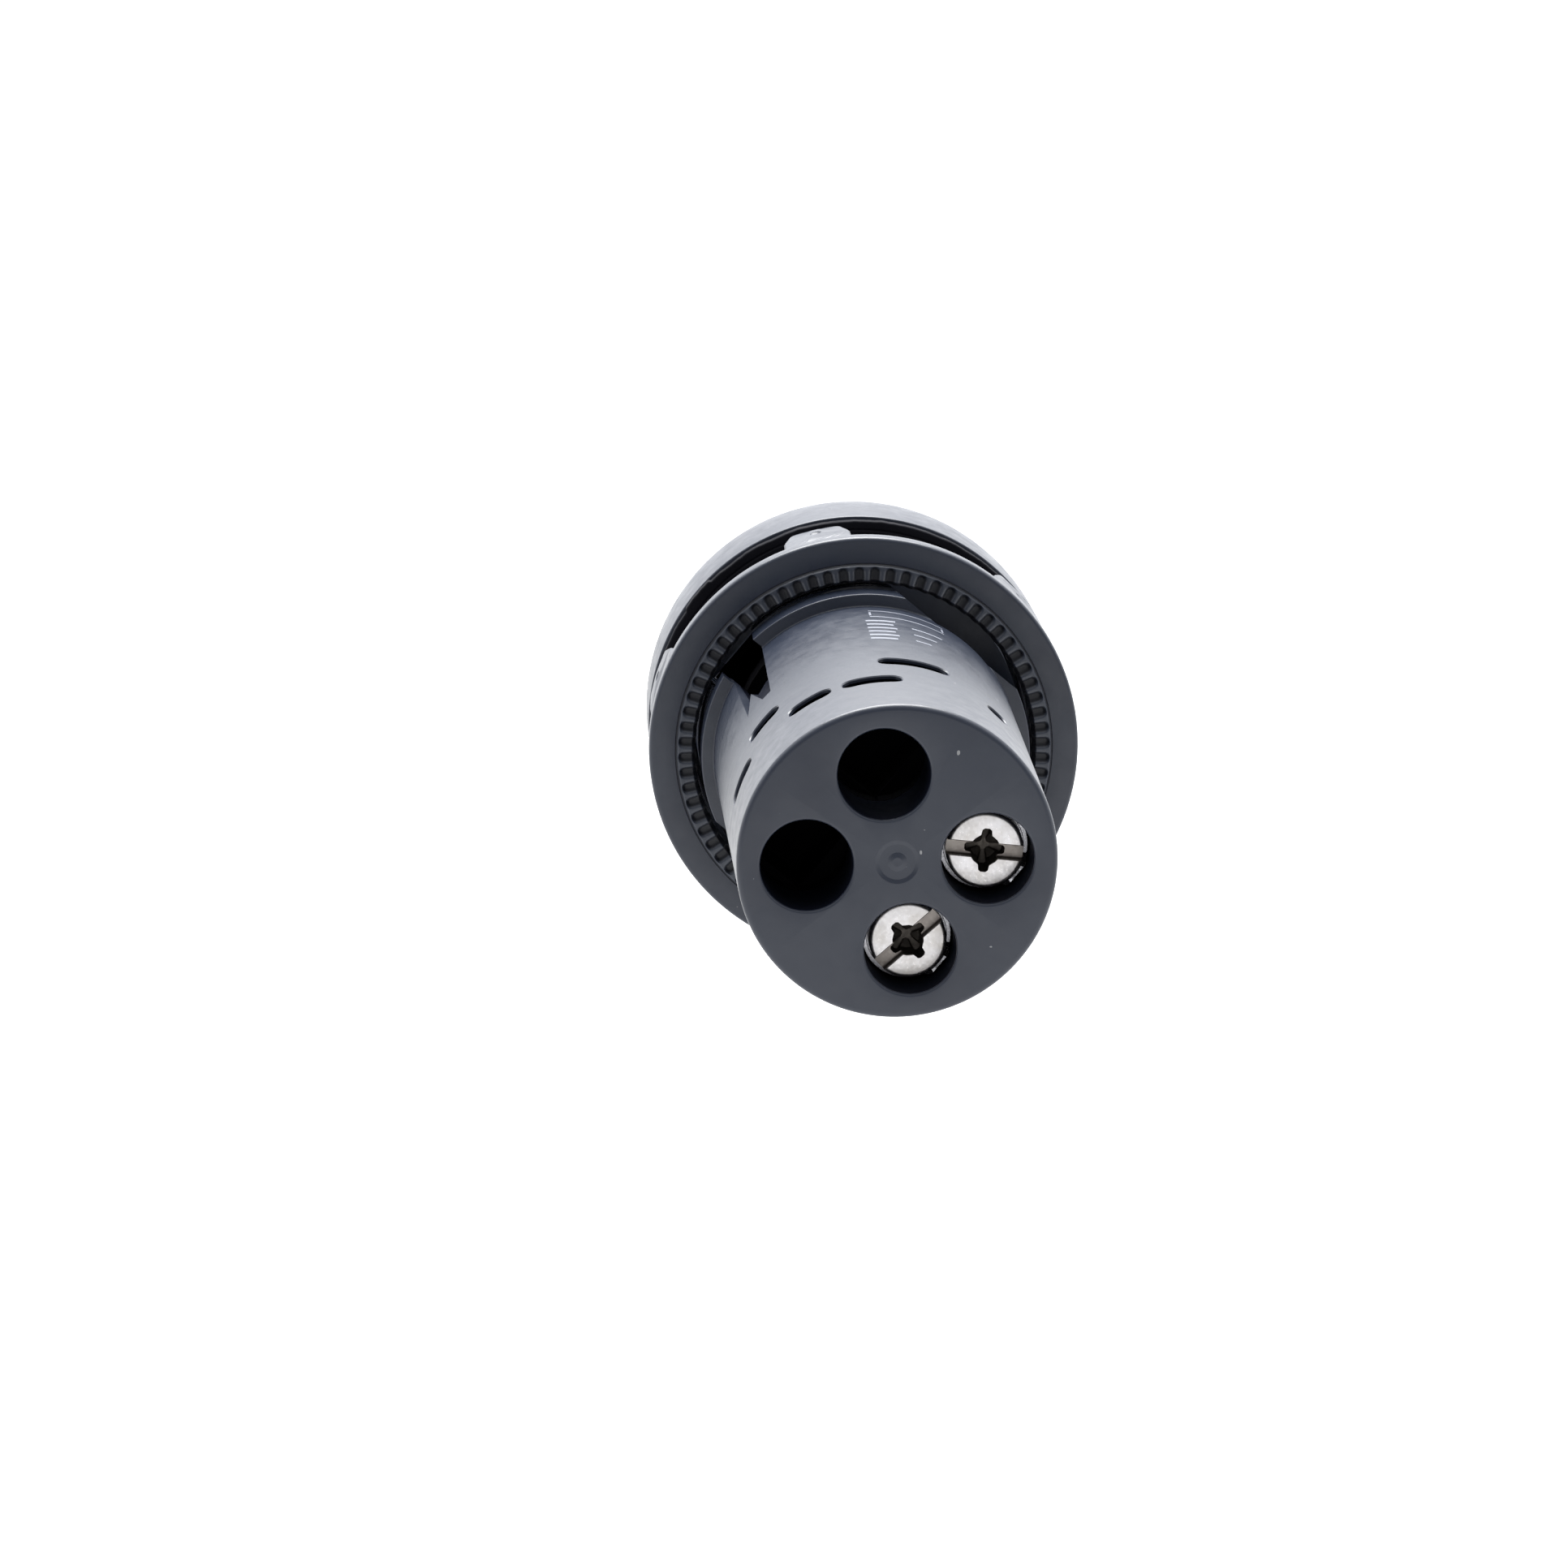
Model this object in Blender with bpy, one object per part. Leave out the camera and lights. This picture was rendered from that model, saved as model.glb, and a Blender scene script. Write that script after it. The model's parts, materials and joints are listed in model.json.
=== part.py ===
"""Panel-mounting push-button unit with screw terminals, built piece by piece.

The button's axis is the Y axis. The panel seats at y = 0, the button faces -Y and the terminals
face +Y. Positions around the axis use two directions at right angles: V runs from the axis
towards the first wire window, and U runs along a pair of terminals.
"""
import math

import bmesh
import bpy
from mathutils import Vector

MM = 0.001
GAP = 0.3 * MM                      # between pieces that rest on each other
SEGMENTS = 64                       # sides of a large round piece
SMALL_SEGMENTS = 28                 # sides of a small one

# Along the axis, from the panel's front face.
REAR_Y = 40.4 * MM                  # rear face of the terminals
REAR_WALL = 5.5 * MM
THREAD_END_Y = 10.2 * MM
SEAL_THICKNESS = 0.75 * MM
BEZEL_FRONT_Y = -10.6 * MM
BUTTON_FRONT_Y = -10.2 * MM
NUT_REAR_Y = 8.2 * MM
NUT_FLANGE = 1.3 * MM
NUT_TAB_REACH = 3.4 * MM

# Radii.
BEZEL_R = 14.2 * MM
NUT_R = 14.5 * MM
THREAD_R = 11.05 * MM
BODY_R = 10.2 * MM
BODY_BORE_R = 8.9 * MM
BUTTON_R = 9.5 * MM
BUTTON_BORE_R = 9.75 * MM
PLUNGER_R = 4.1 * MM
WELL_R = 2.95 * MM
GUIDE_BORE_R = 4.4 * MM

# Terminals: four wells on a rectangle, two of them with screws.
WELL_U = 3.8 * MM
WELL_V = 4.3 * MM
SCREW_HEAD_Y = REAR_Y - 2.3 * MM
SCREW_HEAD = 1.5 * MM
WASHER_THICKNESS = 0.9 * MM
PLATE_Y = 32.2 * MM                 # front face of a terminal plate
PLATE_THICKNESS = 1.0 * MM
PLATE_HALF_U = 2.2 * MM
PLATE_HALF_V = 2.0 * MM
POCKET_HALF_U = 2.5 * MM
POCKET_HALF_V = 2.2 * MM
POCKET_V = 4.5 * MM                 # a pocket's middle, a little further out than its well's

# Contacts.
CONTACT_GAP = 2.85 * MM
BRIDGE_Y = 19.5 * MM
BRIDGE_THICKNESS = 0.7 * MM
TIP_HEIGHT = 0.7 * MM
CONTACT_U = 3.7 * MM

WINDOW_ANGLE = math.radians(40)     # direction V, from +X towards +Z
TAB_ANGLE = math.radians(77.7)      # first tab of the ring nut
V = Vector((math.cos(WINDOW_ANGLE), 0, math.sin(WINDOW_ANGLE)))
U = Vector((-V.z, 0, V.x))


def clear_scene():
    for old in list(bpy.data.objects):
        bpy.data.objects.remove(old, do_unlink=True)


def material(name, color, roughness, metallic=0.0):
    found = bpy.data.materials.get(name)
    if found:
        return found
    made = bpy.data.materials.new(name)
    made.use_nodes = True
    shader = made.node_tree.nodes["Principled BSDF"]
    shader.inputs["Base Color"].default_value = (*color, 1)
    shader.inputs["Roughness"].default_value = roughness
    shader.inputs["Metallic"].default_value = metallic
    return made


def housing_plastic():
    return material("housing_plastic", (0.055, 0.06, 0.075), 0.42)


def button_plastic():
    return material("button_plastic", (0.012, 0.012, 0.013), 0.3)


def inner_plastic():
    return material("inner_plastic", (0.03, 0.03, 0.034), 0.5)


def seal_rubber():
    return material("seal_rubber", (0.012, 0.012, 0.013), 0.8)


def nickel_plate():
    return material("nickel_plate", (0.66, 0.65, 0.62), 0.3, 1.0)


def brass():
    return material("brass", (0.7, 0.52, 0.25), 0.35, 1.0)


def silver():
    return material("silver", (0.8, 0.79, 0.76), 0.3, 1.0)


def spring_steel():
    return material("spring_steel", (0.5, 0.5, 0.51), 0.3, 1.0)


def finish_object(name, mesh_data, surface, origin=Vector((0, 0, 0))):
    """Turns a bmesh into a smooth-shaded object whose origin is at the given point."""
    bmesh.ops.recalc_face_normals(mesh_data, faces=mesh_data.faces)
    bmesh.ops.translate(mesh_data, verts=mesh_data.verts, vec=-origin)
    mesh = bpy.data.meshes.new(name)
    mesh_data.to_mesh(mesh)
    mesh_data.free()
    mesh.shade_smooth()
    mesh.set_sharp_from_angle(angle=math.radians(35))
    made = bpy.data.objects.new(name, mesh)
    made.location = origin
    bpy.context.scene.collection.objects.link(made)
    if surface:
        mesh.materials.append(surface)
    return made


def turned_mesh(outline, segments, centre=Vector((0, 0, 0))):
    """Spins a closed outline of (radius, y) points about the Y direction through a centre."""
    turned = bmesh.new()
    rings = []
    for radius, y in outline:
        if radius == 0:
            rings.append([turned.verts.new(centre + Vector((0, y, 0)))] * segments)
            continue
        ring = []
        for step in range(segments):
            angle = math.tau * step / segments
            offset = Vector((radius * math.cos(angle), y, radius * math.sin(angle)))
            ring.append(turned.verts.new(centre + offset))
        rings.append(ring)
    for index, ring in enumerate(rings):
        following = rings[(index + 1) % len(rings)]
        for step in range(segments):
            after = (step + 1) % segments
            corners = []
            for corner in (ring[step], ring[after], following[after], following[step]):
                if corner not in corners:
                    corners.append(corner)
            if len(corners) > 2:
                turned.faces.new(corners)
    return turned


def turned(name, outline, surface, segments=SEGMENTS, centre=Vector((0, 0, 0))):
    return finish_object(name, turned_mesh(outline, segments, centre), surface)


def prism_mesh(outline, low, high, place):
    """Extrudes a closed outline; place(a, b, height) gives the world point of an outline point."""
    made = bmesh.new()
    bottom = [made.verts.new(place(a, b, low)) for a, b in outline]
    top = [made.verts.new(place(a, b, high)) for a, b in outline]
    made.faces.new(bottom)
    made.faces.new(top)
    for index, corner in enumerate(bottom):
        after = (index + 1) % len(bottom)
        made.faces.new((corner, bottom[after], top[after], top[index]))
    return made


def along_y(u, v, y):
    return U * u + V * v + Vector((0, y, 0))


def along_v(u, y, v):
    return along_y(u, v, y)


def along_u(v, y, u):
    return along_y(u, v, y)


def box_outline(half_u, half_v, centre_u=0.0, centre_v=0.0):
    return [(centre_u - half_u, centre_v - half_v), (centre_u + half_u, centre_v - half_v),
            (centre_u + half_u, centre_v + half_v), (centre_u - half_u, centre_v + half_v)]


def round_outline(radius, centre_u=0.0, centre_v=0.0, segments=SMALL_SEGMENTS, flat=None):
    """A circle in (u, v), cut off straight on both V sides at the distance flat from its centre."""
    limit = flat or radius
    points = []
    for step in range(segments):
        angle = math.tau * (step + 0.5) / segments
        rise = min(limit, max(-limit, radius * math.sin(angle)))
        points.append((centre_u + radius * math.cos(angle), centre_v + rise))
    return points


def prism(name, outline, low, high, surface, place=along_y, origin=Vector((0, 0, 0))):
    return finish_object(name, prism_mesh(outline, low, high, place), surface, origin)


def combine(target, tool, operation):
    """Adds a Boolean modifier that cuts or joins the target with a hidden tool object."""
    tool.hide_render = True
    tool.display_type = "WIRE"
    modifier = target.modifiers.new(tool.name, "BOOLEAN")
    modifier.operation = operation
    modifier.solver = "EXACT"
    modifier.object = tool


def cut(target, tool):
    combine(target, tool, "DIFFERENCE")


def join(target, tool):
    combine(target, tool, "UNION")


def both_sides(make):
    """Calls make(side, label) for the two halves, which match by a half turn about the axis."""
    for side, label in ((1, "1"), (-1, "2")):
        make(side, label)


def arc(centre_r, centre_y, reach_r, reach_y, start, end, steps):
    """Points of an elliptical arc in (radius, y), from one angle to another in degrees."""
    points = []
    for step in range(steps + 1):
        angle = math.radians(start + (end - start) * step / steps)
        points.append((centre_r + reach_r * math.cos(angle), centre_y + reach_y * math.sin(angle)))
    return points


def make_bezel_ring():
    rear = -SEAL_THICKNESS - 0.25 * MM
    shoulder = arc(11.8 * MM, -5.0 * MM, 2.2 * MM, -5.4 * MM, 0, 80, 7)
    outline = [(12.9 * MM, rear), (BEZEL_R, rear), *shoulder,
               (11.6 * MM, BEZEL_FRONT_Y), (BUTTON_BORE_R + 0.25 * MM, BEZEL_FRONT_Y),
               (BUTTON_BORE_R, BEZEL_FRONT_Y + 0.3 * MM), (BUTTON_BORE_R, -3.7 * MM), (12.9 * MM, -3.7 * MM)]
    turned("bezel_ring", outline, housing_plastic())


def make_panel_gasket():
    bore = THREAD_R + GAP
    outline = [(bore, -SEAL_THICKNESS), (BEZEL_R, -SEAL_THICKNESS), (BEZEL_R, 0), (bore, 0)]
    turned("panel_gasket", outline, seal_rubber())


def cut_wire_windows(barrel):
    """Cuts the two wire windows, each with a pointed tongue left between two lobes at its rear end."""
    front = 6.8 * MM
    rear = 23.0 * MM
    relief_rear = 12 * MM
    outline = [(1.3 * MM, front), (1.05 * MM, rear), (0.3 * MM, rear), (-0.55 * MM, 18.4 * MM),
               (-1.25 * MM, rear), (-1.9 * MM, 8.5 * MM), (-2.0 * MM, front)]
    relief = [(1.75 * MM, front), (1.75 * MM, relief_rear), (-3.3 * MM, relief_rear), (-3.3 * MM, front)]

    def windows(side, label):
        for kind, points, bottom in (("window", outline, 6.5 * MM), ("relief", relief, BODY_R + 0.02 * MM)):
            turned_points = [(side * u, y) for u, y in points]
            cut(barrel, prism("cutter_%s_%s" % (kind, label), turned_points, side * bottom, side * 13 * MM,
                              None, along_v))

    both_sides(windows)


def cut_thread_flats(barrel):
    """Cuts the two flats that stop the barrel turning in its panel hole."""
    def flats(side, label):
        centre = side * (BODY_R + 2.02 * MM)
        flat = box_outline(2 * MM, 8 * MM, centre)
        cut(barrel, prism("cutter_flat_" + label, flat, -0.9 * MM, THREAD_END_Y + 0.5 * MM, None))

    both_sides(flats)


def cut_latch_slots(barrel):
    """Cuts the narrow slots that the inner block's latches snap into, as sectors of the wall."""
    slots = [(-19.4, 8.8, 32.7), (19.4, 8.8, 32.7), (43.6, 10.9, 32.7), (94.0, 4.7, 31.0),
             (61.1, 13.2, 27.4), (-0.8, 8.1, 28.6)]
    width = 1.3 * MM
    for number, (middle, half_angle, y) in enumerate(slots):
        for side in (0, 180):
            sector = []
            for radius in (BODY_BORE_R - 0.6 * MM, BODY_R + 0.6 * MM):
                angles = [middle + side + half_angle * share for share in (-1, -0.5, 0, 0.5, 1)]
                if radius > BODY_R:
                    angles.reverse()
                for degrees in angles:
                    angle = math.radians(degrees)
                    sector.append((radius * math.sin(angle), radius * math.cos(angle)))
            name = "cutter_slot_%d_%d" % (number, side)
            cut(barrel, prism(name, sector, y * MM - width / 2, y * MM + width / 2, None))


def cut_at_wells(target, outline_at, low, high, label):
    """Cuts one hole at each of the four terminals; outline_at gives its outline about a centre."""
    for u in (-1, 1):
        for v in (-1, 1):
            name = "cutter_%s_%+d_%+d" % (label, u, v)
            cut(target, prism(name, outline_at(u * WELL_U, v * WELL_V), low, high, None))


def make_barrel_housing():
    edge = arc(BODY_R - 0.5 * MM, REAR_Y - 0.5 * MM, 0.5 * MM, 0.5 * MM, 0, 90, 3)
    outline = [(0, REAR_Y - REAR_WALL), (BODY_BORE_R, REAR_Y - REAR_WALL), (BODY_BORE_R, 1.4 * MM),
               (BUTTON_BORE_R, 1.4 * MM), (BUTTON_BORE_R, -3.4 * MM), (12.6 * MM, -3.4 * MM),
               (12.6 * MM, -1.05 * MM), (THREAD_R, -1.05 * MM), (THREAD_R, THREAD_END_Y - 0.2 * MM),
               (THREAD_R - 0.15 * MM, THREAD_END_Y), (BODY_R, THREAD_END_Y), *edge, (0, REAR_Y)]
    barrel = turned("barrel_housing", outline, housing_plastic())
    cut_thread_flats(barrel)
    cut_wire_windows(barrel)
    cut_latch_slots(barrel)
    cut_at_wells(barrel, lambda u, v: round_outline(WELL_R, u, v), REAR_Y - REAR_WALL - 1 * MM,
                 REAR_Y + 1 * MM, "well")


def make_button_cap():
    rim = arc(BUTTON_R - 0.6 * MM, BUTTON_FRONT_Y + 0.6 * MM, 0.6 * MM, -0.6 * MM, 0, 90, 3)
    outline = [(0, BUTTON_FRONT_Y + 0.35 * MM), (0, -8.3 * MM), (8.2 * MM, -8.3 * MM), (8.2 * MM, -4.6 * MM),
               (BUTTON_R, -4.6 * MM), *rim, (7.5 * MM, BUTTON_FRONT_Y)]
    turned("button_cap", outline, button_plastic())


def make_plunger_guide():
    """Disc with a central bore, fixed in the barrel, that the plunger slides through."""
    front = 4.0 * MM
    rear = 6.2 * MM
    recess_y = 5.6 * MM
    recess_r = 5.2 * MM
    outline = [(GUIDE_BORE_R, front), (BODY_BORE_R - GAP, front), (BODY_BORE_R - GAP, rear),
               (recess_r, rear), (recess_r, recess_y), (GUIDE_BORE_R, recess_y)]
    turned("plunger_guide", outline, inner_plastic(), 48)


def make_plunger():
    """Round stem with two grooves, and behind it a square stirrup that holds the contact bridge."""
    seal_groove = [(PLUNGER_R, 1.2 * MM), (3.3 * MM, 1.2 * MM), (3.3 * MM, 2.4 * MM), (PLUNGER_R, 2.4 * MM)]
    clip_groove = [(PLUNGER_R, 6.5 * MM), (3.4 * MM, 6.5 * MM), (3.4 * MM, 7.3 * MM), (PLUNGER_R, 7.3 * MM)]
    outline = [(0, -8.0 * MM), (PLUNGER_R, -8.0 * MM), *seal_groove, *clip_groove,
               (PLUNGER_R, 12.5 * MM), (0, 12.5 * MM)]
    plunger = turned("plunger", outline, inner_plastic(), 32)
    join(plunger, prism("tool_stirrup", box_outline(2.25 * MM, 2.6 * MM), 12.0 * MM, 22.0 * MM, None))
    slot_end = BRIDGE_Y + BRIDGE_THICKNESS + 0.2 * MM
    cut(plunger, prism("cutter_stirrup_slot", box_outline(4 * MM, 1.7 * MM), 14.4 * MM, slot_end, None))


def make_plunger_o_ring():
    outline = arc(PLUNGER_R - 0.22 * MM, 1.8 * MM, 0.4 * MM, 0.4 * MM, 0, 315, 7)
    turned("plunger_o_ring", outline, seal_rubber(), 32)


def make_plunger_clip():
    """Open snap ring that stops the plunger coming out through the guide."""
    inner = 3.6 * MM
    outer = 5.0 * MM
    opening = math.radians(35)
    points = []
    for radius, direction in ((outer, 1), (inner, -1)):
        for step in range(17):
            share = step / 16 if direction > 0 else 1 - step / 16
            angle = opening + (math.tau - 2 * opening) * share
            points.append((radius * math.cos(angle), radius * math.sin(angle)))
    prism("plunger_clip", points, 6.6 * MM, 7.2 * MM, spring_steel())


def coil(name, radius, wire_r, low, high, turns, steps_per_turn, surface):
    """Compression spring wound about the Y axis, as a bevelled curve."""
    curve = bpy.data.curves.new(name, "CURVE")
    curve.dimensions = "3D"
    curve.bevel_depth = wire_r
    curve.bevel_resolution = 1
    curve.use_fill_caps = True
    spline = curve.splines.new("POLY")
    steps = int(turns * steps_per_turn)
    spline.points.add(steps)
    for step in range(steps + 1):
        angle = math.tau * step / steps_per_turn
        y = low + wire_r + (high - low - 2 * wire_r) * step / steps
        spline.points[step].co = (radius * math.cos(angle), y, radius * math.sin(angle), 1)
    made = bpy.data.objects.new(name, curve)
    bpy.context.scene.collection.objects.link(made)
    curve.materials.append(surface)


def make_return_spring():
    coil("return_spring", 5.6 * MM, 0.3 * MM, -8.1 * MM, 3.8 * MM, 5, 14, spring_steel())


def make_bridge_spring():
    coil("bridge_spring", 1.15 * MM, 0.18 * MM, 14.6 * MM, BRIDGE_Y - 0.1 * MM, 4, 10, spring_steel())


def make_contact_bridge():
    """Flat bar through the stirrup's slot, which carries the moving contact tips."""
    prism("contact_bridge", box_outline(4.6 * MM, 1.4 * MM), BRIDGE_Y, BRIDGE_Y + BRIDGE_THICKNESS, brass())


def make_contact_tips():
    moving_low = BRIDGE_Y + BRIDGE_THICKNESS + 0.05 * MM
    fixed_low = moving_low + TIP_HEIGHT + CONTACT_GAP

    def tips(side, label):
        outline = round_outline(0.9 * MM, side * CONTACT_U, segments=16)
        prism("moving_contact_tip_" + label, outline, moving_low, moving_low + TIP_HEIGHT, silver())
        prism("fixed_contact_tip_" + label, outline, fixed_low, fixed_low + TIP_HEIGHT, silver())

    both_sides(tips)
    return fixed_low + TIP_HEIGHT


def make_terminal_plates(strip_front):
    """Each plate is one strip: a contact foot, a riser along the block and a pad under its screw."""
    strip = 0.8 * MM
    front = strip_front + 0.05 * MM

    def plates(side, label):
        u = side * WELL_U
        pad = prism("terminal_plate_" + label, box_outline(PLATE_HALF_U, PLATE_HALF_V, u, -WELL_V), PLATE_Y,
                    PLATE_Y + PLATE_THICKNESS, brass())
        riser_v = 2.35 * MM
        riser_top = PLATE_Y + 0.6 * MM
        angle_strip = [(0.9 * MM, front), (0.9 * MM, front + strip), (strip - riser_v, front + strip),
                       (strip - riser_v, riser_top), (-riser_v, riser_top), (-riser_v, front)]
        join(pad, prism("tool_strip_" + label, angle_strip, u - 1.2 * MM, u + 1.2 * MM, None, along_u))
        hole = round_outline(1.9 * MM, u, -WELL_V, segments=20)
        cut(pad, prism("cutter_plate_hole_" + label, hole, PLATE_Y - 1 * MM, PLATE_Y + 2 * MM, None))

    both_sides(plates)


def make_contact_block():
    """Inner moulding: a cylinder with the contact chamber, four terminal pockets and two wire ways.

    A pocket is round where the clamp washer travels, and square around the terminal plate below.
    """
    front = 17.0 * MM
    rear = REAR_Y - REAR_WALL - GAP
    radius = BODY_BORE_R - GAP
    outline = [(0, front), (radius, front), (radius, rear), (0, rear)]
    block = turned("contact_block", outline, inner_plastic(), 48)
    chamber_rear = 27.6 * MM
    cut(block, prism("cutter_chamber", box_outline(5.6 * MM, 3.1 * MM), front - 1 * MM, chamber_rear, None))
    pocket_middle = POCKET_V / WELL_V
    cut_at_wells(block, lambda u, v: box_outline(POCKET_HALF_U, POCKET_HALF_V, u, v * pocket_middle),
                 28.8 * MM, rear + 1 * MM, "pocket")
    cut_at_wells(block, lambda u, v: round_outline(WELL_R + 0.1 * MM, u, v), PLATE_Y + PLATE_THICKNESS,
                 rear + 1 * MM, "washer_way")

    def terminal_ways(side, label):
        strip_way = box_outline(1.5 * MM, 1.7 * MM, side * WELL_U, -1.9 * MM)
        cut(block, prism("cutter_strip_way_" + label, strip_way, 24 * MM, 34 * MM, None))
        wire_way = box_outline(WELL_U + 1.6 * MM, 1.7 * MM, 0, side * 6.6 * MM)
        cut(block, prism("cutter_wire_way_" + label, wire_way, front - 1 * MM, 31.5 * MM, None))

    both_sides(terminal_ways)


def make_ring_nut():
    rear = NUT_REAR_Y
    flange_front = rear - NUT_FLANGE
    bore = THREAD_R + GAP
    outline = [(bore, rear + 0.3 * MM), (bore, 4.4 * MM), (12.6 * MM, 4.4 * MM), (12.6 * MM, flange_front),
               (NUT_R, flange_front), (NUT_R, rear - 0.15 * MM), (NUT_R - 0.15 * MM, rear), (12.7 * MM, rear),
               (12.55 * MM, rear + 0.3 * MM)]
    nut = turned("ring_nut", outline, housing_plastic(), 72)
    for number in range(6):
        middle = TAB_ANGLE + math.tau * number / 6
        corners = []
        for radius, direction in ((13.3 * MM, 1), (NUT_R, -1)):
            for share in (-1, -0.5, 0, 0.5, 1):
                corners.append((radius, middle + math.radians(9.2) * share * direction))
        tab = bmesh.new()
        levels = []
        for y, narrowing in ((flange_front + 0.3 * MM, 1.0), (flange_front - 1.6 * MM, 1.0),
                             (flange_front - NUT_TAB_REACH, 0.66)):
            level = []
            for radius, angle in corners:
                at = middle + (angle - middle) * narrowing
                level.append(tab.verts.new((radius * math.cos(at), y, radius * math.sin(at))))
            levels.append(level)
        tab.faces.new(levels[0])
        tab.faces.new(levels[-1])
        for low, high in zip(levels, levels[1:]):
            for index, corner in enumerate(low):
                after = (index + 1) % len(low)
                tab.faces.new((corner, low[after], high[after], high[index]))
        join(nut, finish_object("tool_tab_%d" % number, tab, None))


def make_terminal_screws():
    head_front = SCREW_HEAD_Y - SCREW_HEAD
    washer_rear = head_front - 0.1 * MM
    washer_front = washer_rear - WASHER_THICKNESS
    tip = 31.3 * MM

    def terminal(side, label):
        u = side * WELL_U
        axis = along_y(u, -WELL_V, 0)
        outline = [(0, tip), (1.65 * MM, tip), (1.65 * MM, head_front), (2.5 * MM, head_front),
                   (2.55 * MM, SCREW_HEAD_Y - 0.3 * MM), (2.3 * MM, SCREW_HEAD_Y), (0, SCREW_HEAD_Y)]
        mesh = turned_mesh(outline, SMALL_SEGMENTS, axis)
        screw = finish_object("terminal_screw_" + label, mesh, nickel_plate(), axis)
        slot = box_outline(3 * MM, 0.4 * MM, u, -WELL_V)
        slot_bottom = SCREW_HEAD_Y - 0.8 * MM
        cut(screw, prism("cutter_slot_" + label, slot, slot_bottom, SCREW_HEAD_Y + 1 * MM, None))
        plate = round_outline(2.75 * MM, u, -WELL_V, flat=2.45 * MM)
        washer = prism("clamp_washer_" + label, plate, washer_front, washer_rear, nickel_plate(), origin=axis)
        hole = round_outline(1.85 * MM, u, -WELL_V, segments=20)
        cut(washer, prism("cutter_washer_hole_" + label, hole, washer_front - 1 * MM,
                          washer_rear + 1 * MM, None))

    both_sides(terminal)


def build():
    clear_scene()
    make_bezel_ring()
    make_panel_gasket()
    make_barrel_housing()
    make_button_cap()
    make_plunger_guide()
    make_plunger()
    make_plunger_o_ring()
    make_plunger_clip()
    make_return_spring()
    make_bridge_spring()
    make_contact_bridge()
    make_terminal_plates(make_contact_tips())
    make_contact_block()
    make_ring_nut()
    make_terminal_screws()


build()
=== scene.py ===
"""Looks of a panel push-button unit seen from its terminals: meshes, materials, light and camera.

The button's axis is the Y axis. Every mesh is built in place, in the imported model's frame and in
metres. V is the direction from the axis to the first wire window, and U runs along a terminal pair.
"""
import json
import math

import bmesh
import bpy
from mathutils import Matrix, Vector, noise

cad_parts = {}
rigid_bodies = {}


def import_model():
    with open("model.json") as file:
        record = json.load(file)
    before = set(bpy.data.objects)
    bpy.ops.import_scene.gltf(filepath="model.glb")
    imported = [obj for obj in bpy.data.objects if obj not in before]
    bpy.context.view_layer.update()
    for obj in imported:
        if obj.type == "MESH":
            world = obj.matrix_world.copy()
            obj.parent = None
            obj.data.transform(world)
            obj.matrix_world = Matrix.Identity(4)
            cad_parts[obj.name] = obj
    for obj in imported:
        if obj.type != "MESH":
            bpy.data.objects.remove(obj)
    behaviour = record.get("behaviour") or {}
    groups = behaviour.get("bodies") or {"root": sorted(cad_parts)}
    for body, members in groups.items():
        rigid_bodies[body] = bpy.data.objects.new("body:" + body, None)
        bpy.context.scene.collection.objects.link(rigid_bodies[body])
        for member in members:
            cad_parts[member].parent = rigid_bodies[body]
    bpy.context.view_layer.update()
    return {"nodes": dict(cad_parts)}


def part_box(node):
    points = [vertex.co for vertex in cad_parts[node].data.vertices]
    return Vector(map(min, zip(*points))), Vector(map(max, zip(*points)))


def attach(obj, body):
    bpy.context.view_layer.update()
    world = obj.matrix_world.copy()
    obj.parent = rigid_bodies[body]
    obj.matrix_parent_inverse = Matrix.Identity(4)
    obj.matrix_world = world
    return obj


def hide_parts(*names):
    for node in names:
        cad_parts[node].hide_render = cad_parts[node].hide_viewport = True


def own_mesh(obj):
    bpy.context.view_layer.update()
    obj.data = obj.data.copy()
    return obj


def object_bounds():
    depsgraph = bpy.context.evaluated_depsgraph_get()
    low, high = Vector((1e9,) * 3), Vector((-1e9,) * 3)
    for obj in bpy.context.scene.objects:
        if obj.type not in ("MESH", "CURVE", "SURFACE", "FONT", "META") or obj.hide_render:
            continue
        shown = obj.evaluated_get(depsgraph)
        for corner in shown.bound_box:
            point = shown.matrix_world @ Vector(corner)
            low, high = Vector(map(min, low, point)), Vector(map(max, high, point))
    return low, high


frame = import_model()

MM = 0.001
SEGMENTS = 160                      # sides of a large round piece
SMALL_SEGMENTS = 96                 # sides of a terminal's round pieces
SHARP_EDGE = math.radians(38)

# Sizes along the axis, from the frame.
REAR_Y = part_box("barrel_housing")[1].y
NUT_RING_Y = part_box("ring_nut")[1].y
NUT_FRONT_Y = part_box("ring_nut")[0].y
BEZEL_FRONT_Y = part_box("bezel_ring")[0].y
SEAL_FRONT_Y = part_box("panel_gasket")[0].y
CAP_FRONT_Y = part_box("button_cap")[0].y
CAP_REAR_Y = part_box("button_cap")[1].y
SCREW_TIP_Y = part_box("terminal_screw_1")[0].y
SCREW_HEAD_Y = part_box("terminal_screw_1")[1].y
WASHER_LOW_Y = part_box("clamp_washer_1")[0].y
WASHER_HIGH_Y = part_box("clamp_washer_1")[1].y

# Radii: those of the outer circles are from the frame.
NUT_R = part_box("ring_nut")[1].x
BEZEL_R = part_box("bezel_ring")[1].x
CAP_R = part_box("button_cap")[1].x
SEAL_BORE_R = 11.35 * MM
THREAD_R = 11.05 * MM
BODY_R = 10.2 * MM
BODY_BORE_R = 8.9 * MM
CAP_BORE_R = 9.75 * MM
WELL_R = 2.95 * MM
FLAT_U = 9.95 * MM                  # from the axis to a flat on the thread, at its rear end
FLAT_FRONT_U = 9.1 * MM             # and at its front end

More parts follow.
